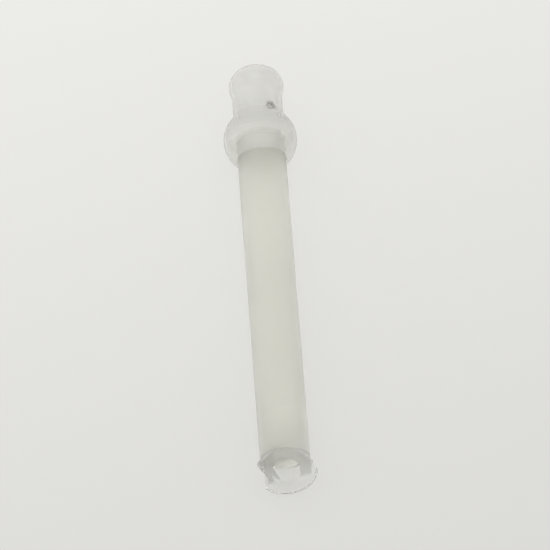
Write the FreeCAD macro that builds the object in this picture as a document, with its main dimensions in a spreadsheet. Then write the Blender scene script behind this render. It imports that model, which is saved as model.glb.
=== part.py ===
"""Saliva ejector tip: clear inlet head, frosted suction tube and clear hose ferrule.

The tip lies along Y. The origin is on its axis, where the tube meets the ferrule's shoulder. The head
points to +Y, the hose end to -Y, and +Z is the side that the head's vent and the ferrule's bevel face.
Every piece is turned about Y, so each profile is drawn in the XY plane: X is the radius and Y the
station along the axis.
"""
import FreeCAD, Part
import math
import os
import Sketcher

V = FreeCAD.Vector
ORIGIN = (-1, 1)
START, END, CENTRE = 1, 2, 3

# ---------------------------------------------------------------- driving dimensions (mm, degrees)
SIZES = {
    # tube
    "tube_dia": 6.5,
    "tube_bore": 4.7,
    "tube_length": 48.7,
    "tube_edge": 0.12,
    "seat_gap": 0.02,
    # head, outside
    "socket_gap": 0.04,
    "socket_lip": 0.14,
    "bulb_mouth": 45.5,
    "bulb_dia": 9.88,
    "bulb_far_arc": 4.44,
    "neck_blend": 1.6,
    "waist_dia": 6.76,
    "dome_blend": 3.0,
    "dome_station": 57.2,
    "dome_arc": 2.72,
    "dome_flat": 2.0,
    # head, inside
    "inlet_dia": 1.7,
    "cavity_end": 58.92,
    "dome_wall": 0.55,
    "bulb_wall": 0.32,
    "web_station": 50.1,
    "seat_depth": 0.9,
    "seat_taper": 0.9,
    "skirt_length": 0.9,
    "skirt_wall": 0.25,
    "vent_dia": 1.0,
    "vent_station": 52.35,
    "vent_turn": 30.0,
    # ferrule
    "ferrule_bore": 3.76,
    "spigot_gap": 0.03,
    "spigot_length": 6.0,
    "spigot_edge": 0.25,
    "collar_length": 0.95,
    "rim_dia": 8.22,
    "rim_shoulder": 0.3,
    "rim_station": 1.6,
    "rim_arc": 2.2,
    "ferrule_length": 3.7,
    "bevel_slope": 61.0,
    "bevel_start": 0.2,
    "flank_reach": 2.72,
    "notch_outer": 3.1,
    "notch_reach": 2.35,
    "notch_start": 1.0,
    "notch_full": 2.0,
    "notch_floor": 1.4,
    "relief_reach": 3.5,
    "relief_floor": 0.4,
    "lug_dia": 1.2,
    "lug_station": 0.6,
    "lug_offset": 3.05,
}

doc = FreeCAD.newDocument("saliva_ejector_tip")
sheet = doc.addObject("Spreadsheet::Sheet", "Sizes")
for row, (alias, number) in enumerate(SIZES.items(), start=1):
    sheet.set(f"A{row}", alias)
    sheet.set(f"B{row}", str(number))
    sheet.setAlias(f"B{row}", alias)
doc.recompute()


def size(alias):
    """A driving dimension, read back from the sheet."""
    return float(getattr(sheet, alias))


# ---------------------------------------------------------------- sketch helpers
def new_body(label):
    body = doc.addObject("PartDesign::Body", label)
    body.Label = label
    return body


def new_sketch(body, name, role="XY_Plane"):
    plane = next(item for item in body.Origin.OriginFeatures if item.Role == role)
    sketch = body.newObject("Sketcher::SketchObject", name)
    sketch.AttachmentSupport = [(plane, "")]
    sketch.MapMode = "FlatFace"
    return sketch


def line(sketch, start, end):
    return sketch.addGeometry(Part.LineSegment(V(*start, 0), V(*end, 0)), False)


def arc(sketch, centre, radius, start, end):
    """Counter-clockwise arc from start to end."""
    turns = [math.atan2(point[1] - centre[1], point[0] - centre[0]) for point in (start, end)]
    circle = Part.Circle(V(*centre, 0), V(0, 0, 1), radius)
    return sketch.addGeometry(Part.ArcOfCircle(circle, *turns), False)


def constrain(sketch, kind, *items):
    """One geometric constraint of this kind for each curve, or tuple of curves and ends, given."""
    for item in items:
        where = item if isinstance(item, tuple) else (item,)
        sketch.addConstraint(Sketcher.Constraint(kind, *where))


def bind(sketch, name, expression, kind, where, drawn):
    """A driving dimension tied to the sheet; drawn is the size that the geometry already has."""
    index = sketch.addConstraint(Sketcher.Constraint(kind, *where, drawn))
    sketch.renameConstraint(index, name)
    sketch.setExpression(f"Constraints.{name}", expression)


def out(sketch, name, expression, curve, end):
    """Distance of a point from the axis."""
    bind(sketch, name, expression, "DistanceX", (*ORIGIN, curve, end), sketch.getPoint(curve, end).x)


def along(sketch, name, expression, curve, end):
    """Station of a point along the axis."""
    bind(sketch, name, expression, "DistanceY", (*ORIGIN, curve, end), sketch.getPoint(curve, end).y)


def radius(sketch, name, expression, curve):
    bind(sketch, name, expression, "Radius", (curve,), sketch.Geometry[curve].Radius)


def turn(body, sketch, name):
    """Revolve a profile about the tip's axis."""
    feature = body.newObject("PartDesign::Revolution", name)
    feature.Profile = sketch
    feature.ReferenceAxis = (sketch, ["V_Axis"])
    feature.Angle = 360.0
    sketch.Visibility = False
    doc.recompute()
    return feature


def pocket(body, sketch, name, **settings):
    """Cut a sketch through the body, and make sure that it removed material."""
    before = body.Shape.Volume
    feature = body.newObject("PartDesign::Pocket", name)
    feature.Profile = sketch
    for key, setting in settings.items():
        setattr(feature, key, setting)
    doc.recompute()
    if body.Shape.Volume >= before:
        raise RuntimeError(f"{name} cuts nothing")
    return feature


def tangent_height(reach_a, reach_b, across):
    """Step along the axis between two touching circles whose centres are this far apart across it."""
    return math.sqrt((reach_a + reach_b) ** 2 - across ** 2)


# ---------------------------------------------------------------- suction tube
def make_tube():
    body = new_body("suction_tube")
    sketch = new_sketch(body, "tube_wall")
    inner, outer = size("tube_bore") / 2, size("tube_dia") / 2
    start, length = size("seat_gap"), size("tube_length")
    corners = [(inner, start), (outer, start), (outer, length), (inner, length)]
    sides = [line(sketch, corners[i], corners[(i + 1) % 4]) for i in range(4)]
    near, outside, far, inside = sides
    constrain(sketch, "Coincident", *[(sides[i], END, sides[(i + 1) % 4], START) for i in range(4)])
    constrain(sketch, "Horizontal", near, far)
    constrain(sketch, "Vertical", outside, inside)
    along(sketch, "start", "Sizes.seat_gap", near, START)
    out(sketch, "bore_radius", "Sizes.tube_bore / 2", inside, START)
    out(sketch, "tube_radius", "Sizes.tube_dia / 2", outside, START)
    along(sketch, "length", "Sizes.tube_length", far, START)
    wall = turn(body, sketch, "tube")

    rounding = body.newObject("PartDesign::Fillet", "tube_end_rounding")
    rounding.Base = (wall, [f"Edge{i + 1}" for i, edge in enumerate(wall.Shape.Edges)
                            if isinstance(edge.Curve, Part.Circle)])
    rounding.setExpression("Radius", "Sizes.tube_edge")
    doc.recompute()
    return body


# ---------------------------------------------------------------- inlet head
def make_head():
    body = new_body("inlet_head")
    sketch = new_sketch(body, "head_profile")

    socket = size("tube_dia") / 2 + size("socket_gap")
    mouth = (socket + size("socket_lip"), size("bulb_mouth"))
    middle, equator = size("tube_length"), size("bulb_dia") / 2
    # the near side of the bulb is the arc from the mouth that crosses its equator squarely
    rise, reach = middle - mouth[1], equator - mouth[0]
    near_arc = (rise ** 2 + reach ** 2) / (2 * reach)
    far_arc, blend = size("bulb_far_arc"), size("neck_blend")
    waist, dome_blend, dome_arc = size("waist_dia") / 2, size("dome_blend"), size("dome_arc")
    far_centre = (equator - far_arc, middle)
    blend_centre = (waist + blend,
                    middle + tangent_height(far_arc, blend, waist + blend - far_centre[0]))
    dome_centre = (size("dome_flat") / 2, size("dome_station"))
    swell_centre = (waist + dome_blend,
                    dome_centre[1] - tangent_height(dome_arc, dome_blend,
                                                    waist + dome_blend - dome_centre[0]))
    blend_start = between(far_centre, far_arc, blend_centre)
    swell_end = between(dome_centre, dome_arc, swell_centre)
    front = dome_centre[1] + dome_arc
    # the wall keeps its thickness round the dome and waist, so the inner arcs share the outer centres
    wall = size("dome_wall")
    inlet, ceiling_at = size("inlet_dia") / 2, size("cavity_end")
    inner_waist, inner_dome, inner_swell = waist - wall, dome_arc - wall, dome_blend + wall
    inner_swell_end = between(dome_centre, inner_dome, swell_centre)
    rise_in = ceiling_at - dome_centre[1]
    corner = (dome_centre[0] + math.sqrt(inner_dome ** 2 - rise_in ** 2), ceiling_at)
    # the tube stands in a short skirt, and the bulb is a thin shell round it
    bore, floor = size("tube_bore") / 2, middle + size("seat_gap")
    seat_top = floor + size("seat_depth")
    waist_start = seat_top + size("seat_taper")
    skirt, skirt_end = socket + size("skirt_wall"), floor - size("skirt_length")
    near_centre = (equator - near_arc, middle)
    shell_far_arc, shell_arc = far_arc - size("bulb_wall"), near_arc - size("bulb_wall")
    shell_side = (equator - size("bulb_wall"), middle)
    web_reach = math.sqrt(shell_far_arc ** 2 - (size("web_station") - middle) ** 2)
    web_end = (far_centre[0] + web_reach, size("web_station"))
    shell_mouth = (socket, middle - math.sqrt(shell_arc ** 2 - (socket - near_centre[0]) ** 2))

    lip = line(sketch, (socket, mouth[1]), mouth)
    near = arc(sketch, near_centre, near_arc, mouth, (equator, middle))
    far = arc(sketch, far_centre, far_arc, (equator, middle), blend_start)
    neck = arc(sketch, blend_centre, blend, (waist, blend_centre[1]), blend_start)
    side = line(sketch, (waist, blend_centre[1]), (waist, swell_centre[1]))
    swell = arc(sketch, swell_centre, dome_blend, swell_end, (waist, swell_centre[1]))
    dome = arc(sketch, dome_centre, dome_arc, swell_end, (dome_centre[0], front))
    face = line(sketch, (dome_centre[0], front), (inlet, front))
    hole = line(sketch, (inlet, front), (inlet, ceiling_at))
    ceiling = line(sketch, (inlet, ceiling_at), corner)
    dome_in = arc(sketch, dome_centre, inner_dome, inner_swell_end, corner)
    swell_in = arc(sketch, swell_centre, inner_swell, inner_swell_end, (inner_waist, swell_centre[1]))
    side_in = line(sketch, (inner_waist, swell_centre[1]), (inner_waist, waist_start))
    taper = line(sketch, (inner_waist, waist_start), (bore, seat_top))
    passage = line(sketch, (bore, seat_top), (bore, floor))
    seat = line(sketch, (bore, floor), (socket, floor))
    skirt_in = line(sketch, (socket, floor), (socket, skirt_end))
    skirt_foot = line(sketch, (socket, skirt_end), (skirt, skirt_end))
    skirt_out = line(sketch, (skirt, skirt_end), (skirt, floor))
    web = line(sketch, (skirt, floor), web_end)
    far_in = arc(sketch, far_centre, shell_far_arc, shell_side, web_end)
    near_in = arc(sketch, near_centre, shell_arc, shell_mouth, shell_side)
    mouth_in = line(sketch, shell_mouth, (socket, mouth[1]))

    constrain(sketch, "Coincident",
              (lip, END, near, START), (face, END, hole, START), (hole, END, ceiling, START),
              (ceiling, END, dome_in, END), (side_in, END, taper, START), (taper, END, passage, START),
              (passage, END, seat, START), (seat, END, skirt_in, START), (skirt_in, END, skirt_foot, START),
              (skirt_foot, END, skirt_out, START), (skirt_out, END, web, START), (web, END, far_in, END),
              (near_in, START, mouth_in, START), (mouth_in, END, lip, START),
              (dome_in, CENTRE, dome, CENTRE), (far_in, CENTRE, far, CENTRE), (near_in, CENTRE, near, CENTRE))
    constrain(sketch, "Tangent",
              (near, END, far, START), (far, END, neck, END), (neck, START, side, START),
              (side, END, swell, END), (swell, START, dome, START), (dome, END, face, START),
              (dome_in, START, swell_in, START), (swell_in, END, side_in, START),
              (far_in, START, near_in, END))
    constrain(sketch, "Horizontal", lip, face, ceiling, seat, skirt_foot)
    constrain(sketch, "Vertical", side, hole, side_in, passage, skirt_in, skirt_out, mouth_in)
    out(sketch, "socket_radius", "Sizes.tube_dia / 2 + Sizes.socket_gap", mouth_in, START)
    along(sketch, "mouth_station", "Sizes.bulb_mouth", lip, END)
    out(sketch, "lip_radius", "Sizes.tube_dia / 2 + Sizes.socket_gap + Sizes.socket_lip", lip, END)
    along(sketch, "near_centre_station", "Sizes.tube_length", near, CENTRE)
    along(sketch, "equator_station", "Sizes.tube_length", near, END)
    out(sketch, "equator_radius", "Sizes.bulb_dia / 2", near, END)
    radius(sketch, "far_arc", "Sizes.bulb_far_arc", far)
    radius(sketch, "neck_arc", "Sizes.neck_blend", neck)
    out(sketch, "waist_radius", "Sizes.waist_dia / 2", side, START)
    radius(sketch, "swell_arc", "Sizes.dome_blend", swell)
    out(sketch, "dome_centre_radius", "Sizes.dome_flat / 2", dome, CENTRE)
    along(sketch, "dome_centre_station", "Sizes.dome_station", dome, CENTRE)
    radius(sketch, "dome_arc", "Sizes.dome_arc", dome)
    out(sketch, "inlet_radius", "Sizes.inlet_dia / 2", hole, START)
    along(sketch, "cavity_end_station", "Sizes.cavity_end", ceiling, START)
    radius(sketch, "dome_in_arc", "Sizes.dome_arc - Sizes.dome_wall", dome_in)
    radius(sketch, "swell_in_arc", "Sizes.dome_blend + Sizes.dome_wall", swell_in)
    out(sketch, "waist_in_radius", "Sizes.waist_dia / 2 - Sizes.dome_wall", side_in, START)
    floor_size = "Sizes.tube_length + Sizes.seat_gap"
    along(sketch, "waist_start_station", f"{floor_size} + Sizes.seat_depth + Sizes.seat_taper", taper, START)
    along(sketch, "seat_top_station", f"{floor_size} + Sizes.seat_depth", taper, END)
    out(sketch, "passage_radius", "Sizes.tube_bore / 2", passage, START)
    along(sketch, "seat_station", floor_size, seat, START)
    out(sketch, "skirt_in_radius", "Sizes.tube_dia / 2 + Sizes.socket_gap", skirt_in, START)
    along(sketch, "skirt_end_station", f"{floor_size} - Sizes.skirt_length", skirt_in, END)
    out(sketch, "skirt_radius", "Sizes.tube_dia / 2 + Sizes.socket_gap + Sizes.skirt_wall", skirt_out, START)
    along(sketch, "web_start_station", floor_size, web, START)
    along(sketch, "web_end_station", "Sizes.web_station", web, END)
    radius(sketch, "far_in_arc", "Sizes.bulb_far_arc - Sizes.bulb_wall", far_in)
    turn(body, sketch, "head")

    # the vent is drilled from the axis out through the wall, turned from +Z towards +X
    drill = new_sketch(body, "vent_circle")
    circle = drill.addGeometry(Part.Circle(V(0, size("vent_station"), 0), V(0, 0, 1),
                                           size("vent_dia") / 2), False)
    constrain(drill, "PointOnObject", (circle, CENTRE, -2))
    along(drill, "vent_station", "Sizes.vent_station", circle, CENTRE)
    radius(drill, "vent_radius", "Sizes.vent_dia / 2", circle)
    drill.AttachmentOffset = FreeCAD.Placement(V(), FreeCAD.Rotation(V(0, 1, 0), size("vent_turn")))
    drill.setExpression("AttachmentOffset.Rotation.Angle", "Sizes.vent_turn")
    pocket(body, drill, "vent", Type="ThroughAll", Reversed=True)
    return body


def between(centre, reach, other):
    """The point at this reach from centre towards another centre."""
    across, up = other[0] - centre[0], other[1] - centre[1]
    scale = reach / math.hypot(across, up)
    return centre[0] + across * scale, centre[1] + up * scale


# ---------------------------------------------------------------- hose ferrule
def make_ferrule():
    body = new_body("hose_ferrule")
    sketch = new_sketch(body, "ferrule_profile")

    bore = size("ferrule_bore") / 2
    spigot = size("tube_bore") / 2 - size("spigot_gap")
    length, edge = size("spigot_length"), size("spigot_edge")
    collar, collar_end = size("tube_dia") / 2, -size("collar_length")
    rim_arc = size("rim_arc")
    rim_centre = (size("rim_dia") / 2 - rim_arc, -size("rim_station"))
    shoulder = collar_end - size("rim_shoulder")
    shoulder_out = rim_centre[0] + math.sqrt(rim_arc ** 2 - (shoulder - rim_centre[1]) ** 2)
    end = -size("ferrule_length")
    end_out = rim_centre[0] + math.sqrt(rim_arc ** 2 - (end - rim_centre[1]) ** 2)

    passage = line(sketch, (bore, length), (bore, end))
    foot = line(sketch, (bore, end), (end_out, end))
    bulge = arc(sketch, rim_centre, rim_arc, (end_out, end), (shoulder_out, shoulder))
    step = line(sketch, (shoulder_out, shoulder), (collar, collar_end))
    side = line(sketch, (collar, collar_end), (collar, 0))
    seat = line(sketch, (collar, 0), (spigot, 0))
    pin = line(sketch, (spigot, 0), (spigot, length - edge))
    lead = line(sketch, (spigot, length - edge), (spigot - edge, length))
    tip = line(sketch, (spigot - edge, length), (bore, length))
    chain = [passage, foot, bulge, step, side, seat, pin, lead, tip]
    constrain(sketch, "Coincident",
              *[(chain[i], END, chain[(i + 1) % len(chain)], START) for i in range(len(chain))])
    constrain(sketch, "Horizontal", foot, seat, tip)
    constrain(sketch, "Vertical", passage, side, pin)
    constrain(sketch, "PointOnObject", (seat, START, -1))
    out(sketch, "bore_radius", "Sizes.ferrule_bore / 2", passage, START)
    along(sketch, "end_station", "-Sizes.ferrule_length", foot, START)
    along(sketch, "rim_station", "-Sizes.rim_station", bulge, CENTRE)
    out(sketch, "rim_centre", "Sizes.rim_dia / 2 - Sizes.rim_arc", bulge, CENTRE)
    radius(sketch, "rim_arc", "Sizes.rim_arc", bulge)
    along(sketch, "shoulder_station", "-Sizes.collar_length - Sizes.rim_shoulder", bulge, END)
    along(sketch, "collar_station", "-Sizes.collar_length", side, START)
    out(sketch, "collar_radius", "Sizes.tube_dia / 2", side, START)
    out(sketch, "spigot_radius", "Sizes.tube_bore / 2 - Sizes.spigot_gap", pin, START)
    along(sketch, "pin_station", "Sizes.spigot_length - Sizes.spigot_edge", pin, END)
    out(sketch, "lead_radius", "Sizes.tube_bore / 2 - Sizes.spigot_gap - Sizes.spigot_edge", lead, END)
    along(sketch, "spigot_station", "Sizes.spigot_length", lead, END)
    turn(body, sketch, "ferrule")

    cut_bevel(body)
    cut_side(body, "flank", -1, "flank_reach", Midplane=True)
    cut_side(body, "relief", 1, "relief_reach", "relief_floor", Reversed=True)
    cut_notch(body)
    add_lug(body)
    return body


def cut_bevel(body):
    """The hose end is cut on a slope from just past the shoulder at the top down to the lower lip."""
    sketch = new_sketch(body, "bevel_outline", "YZ_Plane")
    slope = math.tan(math.radians(size("bevel_slope")))
    clear = size("rim_dia")
    top = (-size("bevel_start"), size("tube_dia") / 2)
    # in this plane X is the station along the axis and Y the height
    high = (top[0] + clear / slope, top[1] + clear)
    low = (top[0] - 2 * clear / slope, top[1] - 2 * clear)
    beyond = low[0] - clear
    corners = [top, low, (beyond, low[1]), (beyond, high[1]), high]
    count = len(corners)
    sides = [line(sketch, corners[i], corners[(i + 1) % count]) for i in range(count)]
    cut, floor, back, ceiling, rise = sides
    constrain(sketch, "Coincident", *[(sides[i], END, sides[(i + 1) % count], START) for i in range(count)])
    constrain(sketch, "Horizontal", floor, ceiling)
    constrain(sketch, "Vertical", back)
    constrain(sketch, "Parallel", (cut, rise))
    bind(sketch, "top_station", "-Sizes.bevel_start", "DistanceX", (*ORIGIN, cut, START), top[0])
    bind(sketch, "top_height", "Sizes.tube_dia / 2", "DistanceY", (*ORIGIN, cut, START), top[1])
    bind(sketch, "slope", "-(180 deg - Sizes.bevel_slope * 1 deg)", "Angle", (-1, cut),
         -math.pi + math.radians(size("bevel_slope")))
    bind(sketch, "low_height", "Sizes.tube_dia / 2 - 2 * Sizes.rim_dia", "DistanceY",
         (*ORIGIN, cut, END), low[1])
    bind(sketch, "high_height", "Sizes.tube_dia / 2 + Sizes.rim_dia", "DistanceY",
         (*ORIGIN, rise, START), high[1])
    bind(sketch, "depth", "Sizes.rim_dia", "DistanceX", (floor, END, floor, START), clear)
    pocket(body, sketch, "bevel", Type="ThroughAll", Midplane=True)


def cut_side(body, name, side, reach, floor=None, **settings):
    """The rim is cut back to a flat at this reach on one side, from the floor up if there is one."""
    sketch = new_sketch(body, f"{name}_outline")
    clear, sign = size("rim_dia"), "-" if side < 0 else ""
    inner, start = side * size(reach), -size("notch_start")
    outer, end = inner + side * clear, start - clear
    corners = [(inner, start), (outer, start), (outer, end), (inner, end)]
    sides = [line(sketch, corners[i], corners[(i + 1) % 4]) for i in range(4)]
    near, outside, far, inside = sides
    constrain(sketch, "Coincident", *[(sides[i], END, sides[(i + 1) % 4], START) for i in range(4)])
    constrain(sketch, "Horizontal", near, far)
    constrain(sketch, "Vertical", outside, inside)
    out(sketch, "reach", f"{sign}Sizes.{reach}", near, START)
    along(sketch, "start", "-Sizes.notch_start", near, START)
    out(sketch, "outside", f"{sign}(Sizes.{reach} + Sizes.rim_dia)", far, START)
    along(sketch, "end", "-Sizes.notch_start - Sizes.rim_dia", far, START)
    if floor:
        sink(sketch, floor)
    pocket(body, sketch, name, Type="ThroughAll", **settings)


def sink(sketch, floor):
    """Lower a sketch to a floor below the axis."""
    sketch.AttachmentOffset = FreeCAD.Placement(V(0, 0, -size(floor)), FreeCAD.Rotation())
    sketch.setExpression("AttachmentOffset.Base.z", f"-Sizes.{floor}")


def cut_notch(body):
    """Above the lower lip, the -X side is cut back further, with a slanting edge below the lug."""
    sketch = new_sketch(body, "notch_outline")
    clear, reach, start = size("rim_dia"), -size("notch_reach"), -size("notch_start")
    corners = [(-size("notch_outer"), start), (reach, -size("notch_full")), (reach, start - clear),
               (reach - clear, start - clear), (reach - clear, start)]
    count = len(corners)
    sides = [line(sketch, corners[i], corners[(i + 1) % count]) for i in range(count)]
    slant, inside, far, outside, near = sides
    constrain(sketch, "Coincident", *[(sides[i], END, sides[(i + 1) % count], START) for i in range(count)])
    constrain(sketch, "Horizontal", near, far)
    constrain(sketch, "Vertical", outside, inside)
    out(sketch, "outer", "-Sizes.notch_outer", slant, START)
    along(sketch, "start", "-Sizes.notch_start", slant, START)
    out(sketch, "reach", "-Sizes.notch_reach", slant, END)
    along(sketch, "full", "-Sizes.notch_full", slant, END)
    out(sketch, "outside", "-Sizes.notch_reach - Sizes.rim_dia", far, END)
    along(sketch, "end", "-Sizes.notch_start - Sizes.rim_dia", far, END)
    sink(sketch, "notch_floor")
    pocket(body, sketch, "notch", Type="ThroughAll", Reversed=True)


def add_lug(body):
    """A rounded lug stands proud of the collar on the -X side."""
    lug = body.newObject("PartDesign::AdditiveSphere", "lug")
    lug.AttachmentSupport = [(next(f for f in body.Origin.OriginFeatures if f.Role == "XY_Plane"), "")]
    lug.MapMode = "FlatFace"
    lug.AttachmentOffset = FreeCAD.Placement(V(-size("lug_offset"), -size("lug_station"), 0),
                                             FreeCAD.Rotation())
    lug.setExpression("AttachmentOffset.Base.x", "-Sizes.lug_offset")
    lug.setExpression("AttachmentOffset.Base.y", "-Sizes.lug_station")
    lug.setExpression("Radius", "Sizes.lug_dia / 2")
    doc.recompute()


bodies = [make_tube(), make_head(), make_ferrule()]

# ---------------------------------------------------------------- check and write
doc.recompute()
for item in doc.Objects:
    if {"Invalid", "Error"} & set(item.State):
        raise RuntimeError(f"{item.Label} failed: {item.State}")
for body in bodies:
    if body.Shape.isNull() or not body.Shape.isValid():
        raise RuntimeError(f"{body.Label} has no valid shape")

os.makedirs("parts", exist_ok=True)
for body in bodies:
    body.Shape.exportStep(f"parts/{body.Label}.step")
    print(body.Label, round(body.Shape.Volume, 3), body.Shape.BoundBox)
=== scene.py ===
import math

import bmesh
import bpy
import numpy as np
from mathutils import Matrix, Vector


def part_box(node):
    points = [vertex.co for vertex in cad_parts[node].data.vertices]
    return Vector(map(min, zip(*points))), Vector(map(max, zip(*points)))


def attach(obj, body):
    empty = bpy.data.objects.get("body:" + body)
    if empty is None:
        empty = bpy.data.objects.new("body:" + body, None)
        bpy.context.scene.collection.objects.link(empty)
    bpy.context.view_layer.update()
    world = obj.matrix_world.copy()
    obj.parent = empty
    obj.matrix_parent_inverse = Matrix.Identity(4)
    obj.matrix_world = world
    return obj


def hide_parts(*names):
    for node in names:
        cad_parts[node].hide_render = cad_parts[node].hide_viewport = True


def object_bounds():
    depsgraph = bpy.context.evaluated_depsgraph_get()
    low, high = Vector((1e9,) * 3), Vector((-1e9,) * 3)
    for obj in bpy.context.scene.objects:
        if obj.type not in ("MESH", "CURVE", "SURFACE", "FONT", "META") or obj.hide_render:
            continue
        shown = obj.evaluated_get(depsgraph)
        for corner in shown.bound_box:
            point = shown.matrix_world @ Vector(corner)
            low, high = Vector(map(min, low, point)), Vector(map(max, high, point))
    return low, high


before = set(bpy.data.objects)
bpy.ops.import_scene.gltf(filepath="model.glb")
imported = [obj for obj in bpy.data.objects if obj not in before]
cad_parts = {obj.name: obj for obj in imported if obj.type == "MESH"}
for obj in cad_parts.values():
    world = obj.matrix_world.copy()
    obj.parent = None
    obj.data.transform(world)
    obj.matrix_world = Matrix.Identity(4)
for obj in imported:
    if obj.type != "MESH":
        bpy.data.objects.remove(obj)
cad_low, cad_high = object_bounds()

MM = 0.001

# ---------------------------------------------------------------- sizes read from the frame (mm)
tube_low, tube_high = (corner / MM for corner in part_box("suction_tube"))
head_low, head_high = (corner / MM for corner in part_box("inlet_head"))
_, ferrule_high = (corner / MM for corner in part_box("hose_ferrule"))

TUBE_R = tube_high.x
TUBE_START, TUBE_END = tube_low.y, tube_high.y
BULB_R = head_high.x
HEAD_START, HEAD_END = head_low.y, head_high.y
RIM_R = ferrule_high.x
SPIGOT_END = ferrule_high.y

# ---------------------------------------------------------------- sizes of the moulded shapes (mm)
TUBE_WALL = 0.9
SOCKET_GAP = 0.04
SOCKET_LIP = 0.14
SEAT_GAP = 0.02
BULB_FAR_ARC = 4.44
NECK_BLEND = 1.6
WAIST_R = 3.38
DOME_BLEND = 3.0
DOME_ARC = 2.72
DOME_FLAT_R = 1.0
DOME_WALL = 0.55
DOME_END_WALL = 1.0
BULB_WALL = 0.32
WEB_STATION = 50.1
INLET_R = 0.85
SEAT_DEPTH = 0.9
SEAT_TAPER = 0.9
SKIRT_LENGTH = 0.9
SKIRT_WALL = 0.25
VENT_R = 0.5
VENT_STATION = 52.35
VENT_TURN = math.radians(30.0)
FERRULE_BORE_R = 1.88
SPIGOT_GAP = 0.03
SPIGOT_EDGE = 0.25
COLLAR_LENGTH = 0.95
RIM_SHOULDER = 0.3
RIM_STATION = 1.6
RIM_ARC = 2.2
FERRULE_LENGTH = 3.7
BEVEL_SLOPE = math.radians(61.0)
BEVEL_START = 0.2
FLANK_REACH = 2.72
NOTCH_OUTER = 3.1
NOTCH_REACH = 2.35
NOTCH_START = 1.0
NOTCH_FULL = 2.0
NOTCH_FLOOR = 1.4
RELIEF_REACH = 3.5
RELIEF_FLOOR = 0.4
LUG_R = 0.6
LUG_STATION = 0.6
LUG_OFFSET = 3.05

# ---------------------------------------------------------------- fineness of the meshes (mm)
# each softening is the step and spread that soften() takes
TUBE_SOFTENING = (0.5, 0.06)
HEAD_SOFTENING = (0.2, 0.08)
DRILL_SOFTENING = (0.2, 0.04)
FERRULE_SOFTENING = (0.12, 0.04)
TUBE_SIDES = 160
HEAD_SIDES = 288
FERRULE_SIDES = 192
SMALL_SIDES = 48
SKIN_VOXEL = 0.062
MELT_ROUNDS = 8
LEAST_R = 1e-3
LEAST_RUN = 1e-6
STEPS_PER_SPREAD = 4
SPREADS_KEPT = 4
LARGEST_BEND = math.radians(3.5)


# ---------------------------------------------------------------- outlines: points of radius and station
def arc(centre, radius, start, end, step=0.08):
    """Points on the shorter arc about centre from start to end."""
    a = math.atan2(start[1] - centre[1], start[0] - centre[0])
    b = math.atan2(end[1] - centre[1], end[0] - centre[0])
    sweep = (b - a + math.pi) % (2 * math.pi) - math.pi
    count = max(2, math.ceil(abs(sweep) * radius / step))
    return [(centre[0] + radius * math.cos(a + sweep * i / count),
             centre[1] + radius * math.sin(a + sweep * i / count)) for i in range(count + 1)]


def toward(centre, reach, other):
    """The point at this reach from centre towards another point."""
    across, up = other[0] - centre[0], other[1] - centre[1]
    scale = reach / math.hypot(across, up)
    return centre[0] + across * scale, centre[1] + up * scale


def leg(slant, other):
    """The third side of a right triangle."""
    return math.sqrt(slant ** 2 - other ** 2)


def soften(outline, step, spread):
    """The closed outline resampled at this step, with its corners rounded over about the spread."""
    points = np.array(outline)
    runs = np.linalg.norm(np.roll(points, -1, 0) - points, axis=1)
    points, runs = points[runs > LEAST_RUN], runs[runs > LEAST_RUN]
    stations = np.concatenate([[0], np.cumsum(runs)])
    total = stations[-1]
    count = int(total / (spread / STEPS_PER_SPREAD))
    where = np.arange(count) * total / count
    closed = np.vstack([points, points[:1]])
    even = np.stack([np.interp(where, stations, closed[:, k]) for k in range(2)], 1)
    reach = STEPS_PER_SPREAD * SPREADS_KEPT
    weights = np.exp(-0.5 * (np.arange(-reach, reach + 1) / STEPS_PER_SPREAD) ** 2)
    weights /= weights.sum()
    smooth = sum(w * np.roll(even, k - reach, 0) for k, w in enumerate(weights))
    return thin_out(smooth, step)


def thin_out(points, step):
    """Keep the points of a closed outline close where it turns, and a step apart where it runs straight."""
    kept = [points[0]]
    last = 0
    count = len(points)
    for i in range(1, count):
        ahead = points[(i + 1) % count] - points[i]
        begun = points[last + 1] - points[last]
        bend = abs(math.atan2(begun[0] * ahead[1] - begun[1] * ahead[0], begun @ ahead))
        if bend > LARGEST_BEND or np.linalg.norm(points[i] - points[last]) >= step:
            kept.append(points[i])
            last = i
    return kept


# ---------------------------------------------------------------- meshes
def lathe(name, outline, segments):
    """A closed solid turned about the Y axis from a closed outline."""
    mesh = bpy.data.meshes.new(name)
    radii = np.array([p[0] for p in outline]) * MM
    stations = np.array([p[1] for p in outline]) * MM
    turns = np.arange(segments) * 2 * math.pi / segments
    x = radii[:, None] * np.sin(turns)[None]
    z = radii[:, None] * np.cos(turns)[None]
    y = np.repeat(stations[:, None], segments, 1)
    verts = np.stack([x, y, z], -1).reshape(-1, 3)
    rings = len(outline)
    faces = [(i * segments + j, i * segments + (j + 1) % segments,
              (i + 1) % rings * segments + (j + 1) % segments, (i + 1) % rings * segments + j)
             for i in range(rings) for j in range(segments)]
    mesh.from_pydata(verts.tolist(), [], faces)
    piece = bpy.data.objects.new(name, mesh)
    bpy.context.scene.collection.objects.link(piece)
    face_outwards(piece)
    return piece


def face_outwards(piece):
    """Turn every face of a closed piece outwards and shade it smooth."""
    work = bmesh.new()
    work.from_mesh(piece.data)
    bmesh.ops.recalc_face_normals(work, faces=work.faces)
    if work.calc_volume(signed=True) < 0:
        bmesh.ops.reverse_faces(work, faces=work.faces)
    work.to_mesh(piece.data)
    work.free()
    piece.data.shade_smooth()


def apply_modifiers(piece):
    depsgraph = bpy.context.evaluated_depsgraph_get()
    mesh = bpy.data.meshes.new_from_object(piece.evaluated_get(depsgraph))
    piece.modifiers.clear()
    piece.data = mesh
    mesh.name = piece.name


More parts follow.
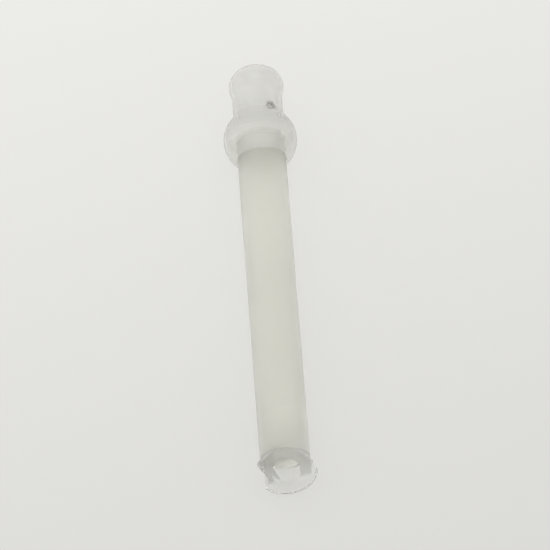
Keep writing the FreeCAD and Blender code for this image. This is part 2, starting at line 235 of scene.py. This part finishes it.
def combine(piece, tool, operation):
    """Cut the tool from the piece, or join it on, and remove the tool."""
    change = piece.modifiers.new(operation, "BOOLEAN")
    change.operation = operation
    change.solver = "EXACT"
    change.object = tool
    apply_modifiers(piece)
    bpy.data.objects.remove(tool)


def cut(piece, name, start, end):
    """Cut away the solid between two matching outlines."""
    combine(piece, prism(name, start, end), "DIFFERENCE")


def prism(name, start, end):
    """A solid between two matching outlines, each a list of points in mm."""
    mesh = bpy.data.meshes.new(name)
    count = len(start)
    verts = [tuple(c * MM for c in point) for point in [*start, *end]]
    faces = [tuple(range(count)), tuple(range(count, 2 * count))]
    faces += [(i, (i + 1) % count, (i + 1) % count + count, i + count) for i in range(count)]
    mesh.from_pydata(verts, [], faces)
    piece = bpy.data.objects.new(name, mesh)
    bpy.context.scene.collection.objects.link(piece)
    face_outwards(piece)
    return piece


# ---------------------------------------------------------------- the three pieces
def make_tube():
    """The straight tube, with its edges a little rounded."""
    inner = TUBE_R - TUBE_WALL
    outline = [(inner, TUBE_START), (TUBE_R, TUBE_START), (TUBE_R, TUBE_END), (inner, TUBE_END)]
    return lathe("frosted_tube", soften(outline, *TUBE_SOFTENING), TUBE_SIDES)


def head_outline():
    """The head's wall from the bulb's mouth over the dome to the inlet, and back along its inside."""
    socket = TUBE_R + SOCKET_GAP
    bore = TUBE_R - TUBE_WALL
    mouth = (socket + SOCKET_LIP, HEAD_START)
    middle = TUBE_END
    equator = (BULB_R, middle)
    rise, reach = middle - mouth[1], BULB_R - mouth[0]
    near_arc = (rise ** 2 + reach ** 2) / (2 * reach)
    near_centre = (BULB_R - near_arc, middle)
    far_centre = (BULB_R - BULB_FAR_ARC, middle)
    dome_centre = (DOME_FLAT_R, HEAD_END - DOME_ARC)

    def neck(waist, dome_arc):
        """Centres and radii of the arcs that blend one skin's waist into the bulb and the dome."""
        blend = WAIST_R + NECK_BLEND - waist
        swell = WAIST_R + DOME_BLEND - waist
        blend_rise = leg(BULB_FAR_ARC + NECK_BLEND, waist + blend - far_centre[0])
        swell_drop = leg(dome_arc + swell, waist + swell - dome_centre[0])
        blend_centre = (waist + blend, middle + blend_rise)
        swell_centre = (waist + swell, dome_centre[1] - swell_drop)
        return blend_centre, blend, swell_centre, swell

    blend_centre, blend, swell_centre, swell = neck(WAIST_R, DOME_ARC)
    blend_start = toward(far_centre, BULB_FAR_ARC, blend_centre)
    swell_end = toward(dome_centre, DOME_ARC, swell_centre)

    inner_waist, inner_dome = WAIST_R - DOME_WALL, DOME_ARC - DOME_WALL
    _, _, inner_swell_centre, inner_swell = neck(inner_waist, inner_dome)
    inner_swell_end = toward(dome_centre, inner_dome, inner_swell_centre)
    cavity_end = HEAD_END - DOME_END_WALL
    cavity_corner = (DOME_FLAT_R + leg(inner_dome, cavity_end - dome_centre[1]), cavity_end)
    seat = middle + SEAT_GAP
    skirt = socket + SKIRT_WALL
    inner_near = near_arc - BULB_WALL
    inner_mouth = (socket, middle - leg(inner_near, socket - near_centre[0]))
    inner_far = BULB_FAR_ARC - BULB_WALL
    inner_side = (BULB_R - BULB_WALL, middle)
    web_end = (far_centre[0] + leg(inner_far, WEB_STATION - middle), WEB_STATION)
    return [
        (socket, mouth[1]),
        *arc(near_centre, near_arc, mouth, equator),
        *arc(far_centre, BULB_FAR_ARC, equator, blend_start),
        *arc(blend_centre, blend, blend_start, (WAIST_R, blend_centre[1])),
        *arc(swell_centre, swell, (WAIST_R, swell_centre[1]), swell_end),
        *arc(dome_centre, DOME_ARC, swell_end, (DOME_FLAT_R, HEAD_END)),
        (INLET_R, HEAD_END),
        (INLET_R, cavity_end),
        *arc(dome_centre, inner_dome, cavity_corner, inner_swell_end),
        *arc(inner_swell_centre, inner_swell, inner_swell_end, (inner_waist, inner_swell_centre[1])),
        (inner_waist, seat + SEAT_DEPTH + SEAT_TAPER),
        (bore, seat + SEAT_DEPTH),
        (bore, seat),
        (socket, seat),
        (socket, seat - SKIRT_LENGTH),
        (skirt, seat - SKIRT_LENGTH),
        (skirt, seat),
        *arc(far_centre, inner_far, web_end, inner_side),
        *arc(near_centre, inner_near, inner_side, inner_mouth),
    ]


def make_head():
    """The head's turned wall with the vent drilled through the side of its waist."""
    piece = lathe("clear_head", soften(head_outline(), *HEAD_SOFTENING), HEAD_SIDES)
    drill_outline = [(LEAST_R, 0), (VENT_R, 0), (VENT_R, BULB_R), (LEAST_R, BULB_R)]
    drill = lathe("drill", soften(drill_outline, *DRILL_SOFTENING), SMALL_SIDES)
    aim = Matrix.Rotation(VENT_TURN, 4, "Y") @ Matrix.Rotation(math.pi / 2, 4, "X")
    drill.matrix_world = Matrix.Translation((0, VENT_STATION * MM, 0)) @ aim
    combine(piece, drill, "DIFFERENCE")
    return piece


def make_ferrule():
    """The hose end's insert: turned, cut, joined to its lug, then melted a little at every edge."""
    spigot = TUBE_R - TUBE_WALL - SPIGOT_GAP
    rim_centre = (RIM_R - RIM_ARC, -RIM_STATION)
    shoulder = -COLLAR_LENGTH - RIM_SHOULDER
    shoulder_out = rim_centre[0] + leg(RIM_ARC, shoulder - rim_centre[1])
    end_out = rim_centre[0] + leg(RIM_ARC, FERRULE_LENGTH - RIM_STATION)
    outline = [
        (FERRULE_BORE_R, SPIGOT_END),
        (FERRULE_BORE_R, -FERRULE_LENGTH),
        *arc(rim_centre, RIM_ARC, (end_out, -FERRULE_LENGTH), (shoulder_out, shoulder)),
        (TUBE_R, -COLLAR_LENGTH),
        (TUBE_R, 0),
        (spigot, 0),
        (spigot, SPIGOT_END - SPIGOT_EDGE),
        (spigot - SPIGOT_EDGE, SPIGOT_END),
    ]
    piece = lathe("clear_ferrule", soften(outline, *FERRULE_SOFTENING), FERRULE_SIDES)
    cut_hose_end(piece)
    ball = [(LEAST_R, -LUG_R), *arc((0, 0), LUG_R, (0, -LUG_R), (LUG_R, 0)),
            *arc((0, 0), LUG_R, (LUG_R, 0), (0, LUG_R)), (LEAST_R, LUG_R)]
    lug = lathe("lug", ball, SMALL_SIDES)
    lug.matrix_world = Matrix.Translation((-LUG_OFFSET * MM, -LUG_STATION * MM, 0))
    combine(piece, lug, "UNION")

    skin = piece.modifiers.new("skin", "REMESH")
    skin.mode = "VOXEL"
    skin.voxel_size = SKIN_VOXEL * MM
    melt = piece.modifiers.new("melt", "SMOOTH")
    melt.iterations = MELT_ROUNDS
    apply_modifiers(piece)
    face_outwards(piece)
    return piece


def cut_hose_end(piece):
    """Cut the slope, the flat flank and slanted notch on the left, and the relief in the rim on the right."""
    clear = 2 * RIM_R
    slope = math.tan(BEVEL_SLOPE)
    top = (-BEVEL_START, TUBE_R)
    bevel = [(top[0] + clear / slope, top[1] + clear), (top[0] - 2 * clear / slope, top[1] - 2 * clear),
             (-4 * clear, top[1] - 2 * clear), (-4 * clear, top[1] + clear)]
    cut(piece, "bevel", [(-clear, *p) for p in bevel], [(clear, *p) for p in bevel])
    far, start = -NOTCH_START - clear, -NOTCH_START
    flank = [(-FLANK_REACH, start), (-clear, start), (-clear, far), (-FLANK_REACH, far)]
    cut(piece, "flank", [(*p, -clear) for p in flank], [(*p, clear) for p in flank])
    relief = [(RELIEF_REACH, start), (clear, start), (clear, far), (RELIEF_REACH, far)]
    cut(piece, "relief", [(*p, -RELIEF_FLOOR) for p in relief], [(*p, clear) for p in relief])
    notch = [(-NOTCH_OUTER, start), (-NOTCH_REACH, -NOTCH_FULL), (-NOTCH_REACH, far), (-clear, far),
             (-clear, start)]
    cut(piece, "notch", [(*p, -NOTCH_FLOOR) for p in notch], [(*p, clear) for p in notch])


# ---------------------------------------------------------------- node trees
RANGE_SLOTS = ("From Min", "From Max", "To Min", "To Max")
NOISE_SPAN = (0.3, 0.7)
RIGHT, AXIS, UP = (1, 0, 0), (0, 1, 0), (0, 0, 1)


class Graph:
    """A node tree, with a short call for each kind of node used here; lengths are in mm."""

    def __init__(self, tree):
        self.nodes = tree.nodes
        self.links = tree.links

    def feed(self, slot, source):
        """Set an input to a number or a colour, or link another node's output to it."""
        if isinstance(source, bpy.types.NodeSocket):
            self.links.new(source, slot)
        elif isinstance(source, tuple):
            slot.default_value = (*source, 1)
        else:
            slot.default_value = source

    def noise(self, scale, stretch=(1, 1, 1), detail=4.0):
        """Noise in the piece's own coordinates; scale is in waves per metre."""
        place = self.nodes.new("ShaderNodeTexCoord")
        mapping = self.nodes.new("ShaderNodeMapping")
        mapping.inputs["Scale"].default_value = stretch
        texture = self.nodes.new("ShaderNodeTexNoise")
        texture.inputs["Scale"].default_value = scale
        texture.inputs["Detail"].default_value = detail
        self.links.new(place.outputs["Object"], mapping.inputs["Vector"])
        self.links.new(mapping.outputs["Vector"], texture.inputs["Vector"])
        return texture.outputs["Fac"]

    def mix(self, factor, low, high):
        """Blend from one colour to another."""
        node = self.nodes.new("ShaderNodeMix")
        node.data_type = "RGBA"
        self.feed(node.inputs["Factor"], factor)
        self.feed(node.inputs["A"], low)
        self.feed(node.inputs["B"], high)
        return node.outputs["Result"]

    def bump(self, source, distance, strength):
        """A bump of this depth, for the shader's normal."""
        node = self.nodes.new("ShaderNodeBump")
        node.inputs["Distance"].default_value = distance * MM
        node.inputs["Strength"].default_value = strength
        self.links.new(source, node.inputs["Height"])
        return node.outputs["Normal"]

    def chain(self, operation, *sources):
        """Take the sources in turn through one kind of maths node."""
        result = sources[0]
        for source in sources[1:]:
            node = self.nodes.new("ShaderNodeMath")
            node.operation = operation
            self.feed(node.inputs[0], result)
            self.feed(node.inputs[1], source)
            result = node.outputs["Value"]
        return result

    def product(self, *sources):
        return self.chain("MULTIPLY", *sources)

    def total(self, *sources):
        return self.chain("ADD", *sources)

    def highest(self, *sources):
        return self.chain("MAXIMUM", *sources)

    def measure(self, operation, other, output="Value"):
        """The result of a vector node on each surface point's own place in mm."""
        place = self.nodes.new("ShaderNodeTexCoord")
        scaled = self.nodes.new("ShaderNodeVectorMath")
        scaled.operation = "SCALE"
        scaled.inputs["Scale"].default_value = 1 / MM
        node = self.nodes.new("ShaderNodeVectorMath")
        node.operation = operation
        node.inputs[1].default_value = other
        self.links.new(place.outputs["Object"], scaled.inputs[0])
        self.links.new(scaled.outputs["Vector"], node.inputs[0])
        return node.outputs[output]

    def along(self, direction, start=0.0):
        """How far each surface point lies along a direction, counted from the start."""
        return self.chain("SUBTRACT", self.measure("DOT_PRODUCT", direction), start)

    def radius(self):
        """How far each surface point is from the tip's axis."""
        length = self.nodes.new("ShaderNodeVectorMath")
        length.operation = "LENGTH"
        self.links.new(self.measure("MULTIPLY", (1, 0, 1), "Vector"), length.inputs[0])
        return length.outputs["Value"]

    def map_range(self, source, shape, *limits):
        """Map the source from between the first two limits to between the last two, and clamp it."""
        node = self.nodes.new("ShaderNodeMapRange")
        node.interpolation_type = shape
        for name, number in zip(RANGE_SLOTS, limits):
            node.inputs[name].default_value = number
        self.links.new(source, node.inputs["Value"])
        return node.outputs["Result"]

    def spread(self, source, low, high):
        """Map a noise value to a range."""
        return self.map_range(source, "LINEAR", *NOISE_SPAN, low, high)

    def ramp(self, source, start, end, low=0.0, high=1.0):
        """A smooth step between two values of the source."""
        return self.map_range(source, "SMOOTHSTEP", start, end, low, high)

    def fall(self, source, start, end, high=1.0):
        """A smooth step down to nothing."""
        return self.ramp(source, start, end, high, 0.0)

    def band(self, source, limits, height):
        """A smooth band that rises between the first two limits and falls between the last two."""
        start, full, fall, end = limits
        return self.product(self.ramp(source, start, full), self.fall(source, fall, end, height))

    def spot(self, middle, inner, outer):
        """One within the inner distance of a point, fading to nothing at the outer one."""
        return self.fall(self.measure("DISTANCE", middle), inner, outer)

    def grazing(self, start, height):
        """Nothing where the surface faces the viewer, rising to the height where it turns away."""
        turn = self.nodes.new("ShaderNodeLayerWeight")
        turn.inputs["Blend"].default_value = 0.5
        return self.ramp(turn.outputs["Facing"], start, 1.0, 0.0, height)


def new_material(name):
    material = bpy.data.materials.new(name)
    material.use_nodes = True
    return material, Graph(material.node_tree), material.node_tree.nodes["Principled BSDF"]


def darker(colour, share):
    """This share of a colour's light."""
    return tuple(c * share for c in colour)


# ---------------------------------------------------------------- clear plastic: head and ferrule
SMOKE = (0.35, 0.35, 0.28)
# painted shade: the colour that clear outlines darken towards where the surface turns away from the eye
OUTLINE_SHADE = (0.6, 0.6, 0.57)
OUTLINE_SHADE_START, OUTLINE_SHADE_HEIGHT = 0.65, 0.5
CLEAR_CLOUD_WAVES, CLEAR_GRAIN_WAVES = 260.0, 1500.0
CLEAR_SHADE = 0.994
CLEAR_ROUGHNESS = (0.14, 0.22)
PATCH_ROUGHNESS = 0.35
COAT_WEIGHT, COAT_ROUGHNESS = 0.3, 0.2
CLEAR_BUMP = (0.01, 0.3)
HEAD_TINT = (0.978, 0.976, 0.96)
# painted shade: the colour the head's darker patches go towards
HEAD_PATCH_SHADE = (0.45, 0.45, 0.42)
HEAD_FROST = 0.4
HEAD_IOR = 1.06
HEAD_DENSITY = 0.03
FERRULE_TINT = (0.985, 0.985, 0.975)
# painted shade: the colour the ferrule's darker patches go towards
FERRULE_PATCH_SHADE = (0.53, 0.53, 0.50)
FERRULE_FROST = 0.7
FERRULE_IOR = 1.1
FERRULE_DENSITY = 0.02
FERRULE_MILK = 0.07
BULB_MILK, DOME_MILK = 0.19, 0.27

# how strongly each mark is painted darker as shade, and made matte and milky, from 0 to 1
WAIST_MARK, DOME_MARK, CAP_MARK, CAP_EDGE_MARK = 0.13, 0.04, 0.05, 0.12
CHEEK_MARK, FLOOR_MARK = 0.75, 0.4
COLLAR_MARK, LUG_MARK, RIM_MARK = 0.75, 0.55, 0.1
CUT_RIGHT_MARK, FLANK_END_MARK = 0.82, 0.6


def clear_plastic(name, tint, patch_shade, frost, ior, density, shade_marks):
    """Clear moulded plastic with outlines softly darkened by painted shade, which absorbs more light where it
    is thicker.

    The marks give the mask of the patches painted darker as shade, which are also matte, and the milkiness
    elsewhere; frost is the milkiness of a patch.
    """
    material, graph, shader = new_material(name)
    cloud = graph.noise(CLEAR_CLOUD_WAVES)
    grain = graph.noise(CLEAR_GRAIN_WAVES)
    mask, milk = shade_marks(graph)
    # painted shade along the outlines, growing where the surface turns away
    edge_shade = graph.grazing(OUTLINE_SHADE_START, OUTLINE_SHADE_HEIGHT)

    clean = graph.mix(cloud, darker(tint, CLEAR_SHADE), tint)
    # painted shade: the patches darken by their mask
    colour = graph.mix(edge_shade, graph.mix(mask, clean, patch_shade), OUTLINE_SHADE)
    rough = graph.total(graph.spread(cloud, *CLEAR_ROUGHNESS), graph.product(mask, PATCH_ROUGHNESS))
    milky = graph.highest(graph.product(mask, frost), milk, edge_shade)
    graph.feed(shader.inputs["Base Color"], colour)
    graph.feed(shader.inputs["Roughness"], rough)
    graph.feed(shader.inputs["Transmission Weight"], graph.chain("SUBTRACT", 1.0, milky))
    graph.feed(shader.inputs["Normal"], graph.bump(grain, *CLEAR_BUMP))
    graph.feed(shader.inputs["IOR"], ior)
    graph.feed(shader.inputs["Coat Weight"], COAT_WEIGHT)
    graph.feed(shader.inputs["Coat Roughness"], COAT_ROUGHNESS)
    add_depth(graph, density)
    return material


def add_depth(graph, density):
    """Absorb light inside the piece; density is per millimetre."""
    volume = graph.nodes.new("ShaderNodeVolumeAbsorption")
    volume.inputs["Color"].default_value = (*SMOKE, 1)
    volume.inputs["Density"].default_value = density / MM
    graph.links.new(volume.outputs["Volume"], graph.nodes["Material Output"].inputs["Volume"])


def head_shade_marks(graph):
    """Painted shade, matte, at the vent's rim, and fainter painted shade with haze round the waist, the dome
    and the edge of its end wall.
    """
    from_seat = graph.along(AXIS, TUBE_END)
    from_end = graph.along(AXIS, HEAD_END)
    # painted shade round the vent's hole
    vent_shade = graph.spot((WAIST_R * math.sin(VENT_TURN), VENT_STATION, WAIST_R * math.cos(VENT_TURN)),
                      VENT_R, VENT_R + 0.4)
    # fainter painted shade round the waist, over the dome and at the edge of the end wall
    waist = graph.band(from_seat, (-0.7, 1.3, 2.8, 7.3), WAIST_MARK)
    dome = graph.ramp(from_seat, 0.3, 1.9, 0.0, DOME_MARK)
    cap = graph.ramp(from_end, -1.22, -0.97, 0.0, CAP_MARK)
    cap_edge = graph.band(from_end, (-1.32, -1.12, -1.02, -0.82), CAP_EDGE_MARK)
    cap_edge = graph.product(cap_edge, graph.ramp(graph.along(UP), 0, 1))
    milk = graph.ramp(from_seat, -2.2, 0.8, BULB_MILK, DOME_MILK)
    return graph.total(vent_shade, dome, cap, cap_edge, waist), milk


def ferrule_shade_marks(graph):
    """Painted shade, matte, on the cut face, in the bore, on the flank and the collar's top; fainter on the
    lug and rim.
    """
    # fainter painted shade on the lug and round the outer edge of the rim
    lug = graph.product(graph.spot((-LUG_OFFSET, -LUG_STATION, 0), LUG_R, LUG_R + 0.15), LUG_MARK)
    rim = graph.ramp(graph.radius(), RIM_R - 0.24, RIM_R - 0.04, 0.0, RIM_MARK)
    mask = graph.highest(cut_face(graph), bore_shade(graph), flank_face(graph), collar_top(graph),
                         lug, rim)
    return mask, FERRULE_MILK


def cut_face(graph):
    """Painted shade on the sloping cut above and beside the bore, a little fainter to the right."""
    outward = Vector((0, -math.sin(BEVEL_SLOPE), math.cos(BEVEL_SLOPE)))
    top = outward.dot(Vector((0, -BEVEL_START, TUBE_R)))
    across = graph.along(RIGHT)
    surface = graph.ramp(graph.along(outward, top), -0.2, -0.1)
    upper = graph.ramp(graph.along((-0.18, 0, 1)), -1.3, -0.6)
    inside = graph.fall(across, 3.1, 3.4)
    return graph.product(surface, upper, inside, graph.ramp(across, -2.0, -1.2, 1.0, CUT_RIGHT_MARK))


def bore_shade(graph):
    """Painted shade on the bore's wall on the left near its mouth, and on its floor further in."""
    station = graph.along(AXIS)
    wall = graph.fall(graph.radius(), FERRULE_BORE_R + 0.07, FERRULE_BORE_R + 0.17)
    left = graph.fall(graph.along((1.43, 1, 0)), -3.15, -2.85)
    cheek = graph.product(left, graph.ramp(station, -2.2, -1.8), CHEEK_MARK)
    deep_left = graph.ramp(graph.along((-1.02, 1, 0)), 1.05, 1.2)
    deep = graph.highest(graph.ramp(station, 0.7, 0.85), deep_left)
    floor = graph.fall(graph.along((0, 0.3, 1)), 0, 0.6, FLOOR_MARK)
    shade_in_bore = graph.highest(cheek, graph.product(deep, floor))
    return graph.product(wall, shade_in_bore, graph.fall(station, 1.6, 2.4))


def flank_face(graph):
    """Painted shade on the flat flank and the notch on the left, fainter towards the tube."""
    left = graph.fall(graph.along(RIGHT), -NOTCH_REACH, 0.25 - NOTCH_REACH)
    above_floor = graph.ramp(graph.along(UP), -NOTCH_FLOOR - 0.1, -NOTCH_FLOOR + 0.3)
    return graph.product(left, above_floor, graph.ramp(graph.along(AXIS), -1.5, -1.1, 1.0, FLANK_END_MARK))


def collar_top(graph):
    """Painted shade on the upper half of the collar's skin, next to the tube."""
    beside_tube = graph.band(graph.along(AXIS), (-0.5, -0.3, 0.1, 0.2), COLLAR_MARK)
    skin = graph.ramp(graph.radius(), TUBE_R - 0.35, TUBE_R - 0.25)
    return graph.product(beside_tube, skin, graph.ramp(graph.along(UP), 0, 0.5))


# ---------------------------------------------------------------- frosted plastic: tube
TUBE_TINT = (1.0, 0.995, 0.955)
# painted shade inside the tube's mouth at the hose end
TUBE_MOUTH_SHADE = (0.8, 0.8, 0.75)
# the darker end of the tube's tone, used by the random streaks and by painted shade along the tube
TUBE_STREAK_AND_SHADE_SHARE = 0.935
TUBE_CLEAR = 0.9
TUBE_IOR = 1.4
TUBE_CLOUD_WAVES, STREAK_WAVES, TUBE_GRAIN_WAVES = 180.0, 900.0, 4000.0
STREAK_STRETCH = (1, 0.06, 1)
# how much of the tube's tone is random streaks, and how much is painted light at the hose end, the head end
# and along the middle
STREAK_TONE, HOSE_END_PAINTED_LIGHT, HEAD_END_PAINTED_LIGHT = 0.2, 0.85, 0.6
MIDDLE_PAINTED_LIGHT = (0.25, 0.6)
TUBE_ROUGHNESS = (0.45, 0.6)
WINDOW_GLOSS = 0.35
TUBE_BUMP = (0.02, 0.4)


def frosted_plastic(name, tint):
    """Frosted plastic, streaked along the tube, with painted light that makes it paler at both ends and
    lighter from the middle towards the head.

    The mouth at the hose end has grey painted shade inside on the left, and a clearer window underneath.
    """
    material, graph, shader = new_material(name)
    cloud = graph.noise(TUBE_CLOUD_WAVES)
    streaks = graph.noise(STREAK_WAVES, STREAK_STRETCH)
    grain = graph.noise(TUBE_GRAIN_WAVES)
    station = graph.along(AXIS)
    leaning = graph.along((-0.3, 1, 0))

    # painted light: paler near the hose end, lighter from the middle towards the head, and paler again at the
    # end inside the bulb
    near = graph.fall(leaning, 5, 7, HOSE_END_PAINTED_LIGHT)
    middle = graph.ramp(leaning, 22, 46, *MIDDLE_PAINTED_LIGHT)
    far = graph.ramp(station, TUBE_END - 4.7, TUBE_END - 2.7, 0.0, HEAD_END_PAINTED_LIGHT)
    tone = graph.total(graph.product(streaks, STREAK_TONE), near, middle, far)
    # painted shade inside the mouth, on the left side of the bore near the hose end
    bore = graph.fall(graph.radius(), TUBE_R - TUBE_WALL + 0.1, TUBE_R - TUBE_WALL + 0.3)
    left = graph.fall(graph.along(RIGHT), -0.5, 1.2)
    mouth_shade = graph.product(bore, graph.fall(leaning, 1.2, 1.8), left)
    under = graph.fall(graph.along(UP), -0.8, -0.3)
    window = graph.product(under, graph.fall(station, 0.7, 0.9))

    colour = graph.mix(mouth_shade, graph.mix(tone, darker(tint, TUBE_STREAK_AND_SHADE_SHARE), tint), TUBE_MOUTH_SHADE)
    rough = graph.total(graph.spread(cloud, *TUBE_ROUGHNESS), graph.product(window, -WINDOW_GLOSS))
    clear = graph.total(graph.product(window, 1 - TUBE_CLEAR), TUBE_CLEAR)
    graph.feed(shader.inputs["Base Color"], colour)
    graph.feed(shader.inputs["Roughness"], rough)
    graph.feed(shader.inputs["Transmission Weight"], clear)
    graph.feed(shader.inputs["Normal"], graph.bump(grain, *TUBE_BUMP))
    graph.feed(shader.inputs["IOR"], TUBE_IOR)
    return material


def dress(piece, body, node, material):
    """Give a piece its material, and let it stand for a CAD node on that node's body."""
    piece.data.materials.clear()
    piece.data.materials.append(material)
    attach(piece, body)
    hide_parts(node)


head_finish = (HEAD_TINT, HEAD_PATCH_SHADE, HEAD_FROST, HEAD_IOR, HEAD_DENSITY, head_shade_marks)
ferrule_finish = (FERRULE_TINT, FERRULE_PATCH_SHADE, FERRULE_FROST, FERRULE_IOR, FERRULE_DENSITY, ferrule_shade_marks)
dress(make_tube(), "tube", "suction_tube", frosted_plastic("frosted_tube", TUBE_TINT))
dress(make_head(), "head", "inlet_head", clear_plastic("clear_head", *head_finish))
dress(make_ferrule(), "ferrule", "hose_ferrule",
      clear_plastic("clear_ferrule", *ferrule_finish))


# ---------------------------------------------------------------- floor, light and camera
FLOOR_SIZE = 1.2
PAPER_TONE = (0.81, 0.807, 0.782)
PAPER_SHADE = 0.985
PAPER_BOUNCE = 0.2
PAPER_GLOW = 0.905
# painted light: the share of the glow left on the near side, which brightens towards the far side
PAPER_PAINTED_FALLOFF = 0.74
PAPER_ROUGHNESS = 0.9
FIBRE_WAVES, FIBRE_DETAIL = 300.0, 8.0
SKY_TONE = (1.0, 1.0, 0.985)
SKY_GLOW, SKY_LEAN = 0.91, 0.08
LAMP_PLACE = (-0.2, 0.3, 0.3)
LAMP_SIZE, LAMP_POWER = 0.12, 0.06
CAMERA_PITCH = math.radians(59.0)
CAMERA_YAW = math.radians(3.87)
CAMERA_DISTANCE = 0.5326
CAMERA_LENS = 264.5
CAMERA_CLIP = 0.01
CAMERA_AIM_SHIFT = Vector((0.54, -0.60, 0)) * MM


def paper(name, tone):
    """Pale paper on a light table: mostly its own even glow, with painted light that makes it brighter on the
    far side.
    """
    material, graph, shader = new_material(name)
    fibre = graph.noise(FIBRE_WAVES, detail=FIBRE_DETAIL)
    # painted light: the glow brightens towards the far side and a little to the left
    painted_falloff = graph.ramp(graph.along((-0.25, 1, 0)), -120, 100, PAPER_PAINTED_FALLOFF * PAPER_GLOW, PAPER_GLOW)
    graph.feed(shader.inputs["Emission Strength"], painted_falloff)
    graph.feed(shader.inputs["Emission Color"], graph.mix(fibre, darker(tone, PAPER_SHADE), tone))
    graph.feed(shader.inputs["Base Color"], darker(tone, PAPER_BOUNCE))
    graph.feed(shader.inputs["Roughness"], PAPER_ROUGHNESS)
    graph.feed(shader.inputs["Specular IOR Level"], 0.0)
    return material


def make_floor():
    """A pale floor that the bulb and the rim both rest on, so it slopes a little under the level tip."""
    run = (TUBE_END + RIM_STATION) * MM
    slope = math.atan2((BULB_R - RIM_R) * MM, run)
    turn = Matrix.Rotation(-slope, 4, "X")
    down = turn @ Vector((0, 0, -1))
    touch = Vector((0, TUBE_END * MM, 0)) + down * BULB_R * MM
    half = FLOOR_SIZE / 2
    corners = [(-half, -half, 0), (half, -half, 0), (half, half, 0), (-half, half, 0)]
    mesh = bpy.data.meshes.new("floor")
    mesh.from_pydata(corners, [], [(0, 1, 2, 3)])
    floor = bpy.data.objects.new("floor", mesh)
    floor.matrix_world = Matrix.Translation(touch) @ turn
    bpy.context.scene.collection.objects.link(floor)
    floor.data.materials.append(paper("paper", PAPER_TONE))


def make_sky():
    """Even light from all round, a little stronger from the left."""
    world = bpy.data.worlds.new("studio")
    world.use_nodes = True
    graph = Graph(world.node_tree)
    place = graph.nodes.new("ShaderNodeTexCoord")
    split = graph.nodes.new("ShaderNodeSeparateXYZ")
    graph.links.new(place.outputs["Generated"], split.inputs["Vector"])
    glow = graph.ramp(split.outputs["X"], -1.0, 1.0, SKY_GLOW * (1 + SKY_LEAN), SKY_GLOW * (1 - SKY_LEAN))
    background = graph.nodes["Background"]
    graph.feed(background.inputs["Strength"], glow)
    graph.feed(background.inputs["Color"], SKY_TONE)
    bpy.context.scene.world = world


def make_lamp():
    """A soft lamp aimed at the middle of the tip."""
    lamp = bpy.data.lights.new("window", "AREA")
    lamp.shape = "SQUARE"
    lamp.size = LAMP_SIZE
    lamp.energy = LAMP_POWER
    thing = bpy.data.objects.new("window", lamp)
    aim = (cad_low + cad_high) / 2 - Vector(LAMP_PLACE)
    thing.matrix_world = Matrix.Translation(LAMP_PLACE) @ facing(aim)
    bpy.context.scene.collection.objects.link(thing)


def facing(direction):
    """The turn that points a lamp or camera along a direction, upright."""
    return direction.to_track_quat("-Z", "Y").to_matrix().to_4x4()


def make_camera():
    """A long lens that looks down at the tip from beyond its hose end, turned a little to the right."""
    look = Vector((math.sin(CAMERA_YAW) * math.cos(CAMERA_PITCH),
                   math.cos(CAMERA_YAW) * math.cos(CAMERA_PITCH), -math.sin(CAMERA_PITCH)))
    middle = (cad_low + cad_high) / 2
    aim = Vector((0, middle.y, 0)) + CAMERA_AIM_SHIFT
    data = bpy.data.cameras.new("camera")
    data.lens = CAMERA_LENS
    data.clip_start = CAMERA_CLIP
    camera = bpy.data.objects.new("camera", data)
    camera.matrix_world = Matrix.Translation(aim - look * CAMERA_DISTANCE) @ facing(look)
    bpy.context.scene.collection.objects.link(camera)
    bpy.context.scene.camera = camera


make_floor()
make_sky()
make_lamp()
make_camera()
bpy.context.scene.view_settings.view_transform = "Standard"
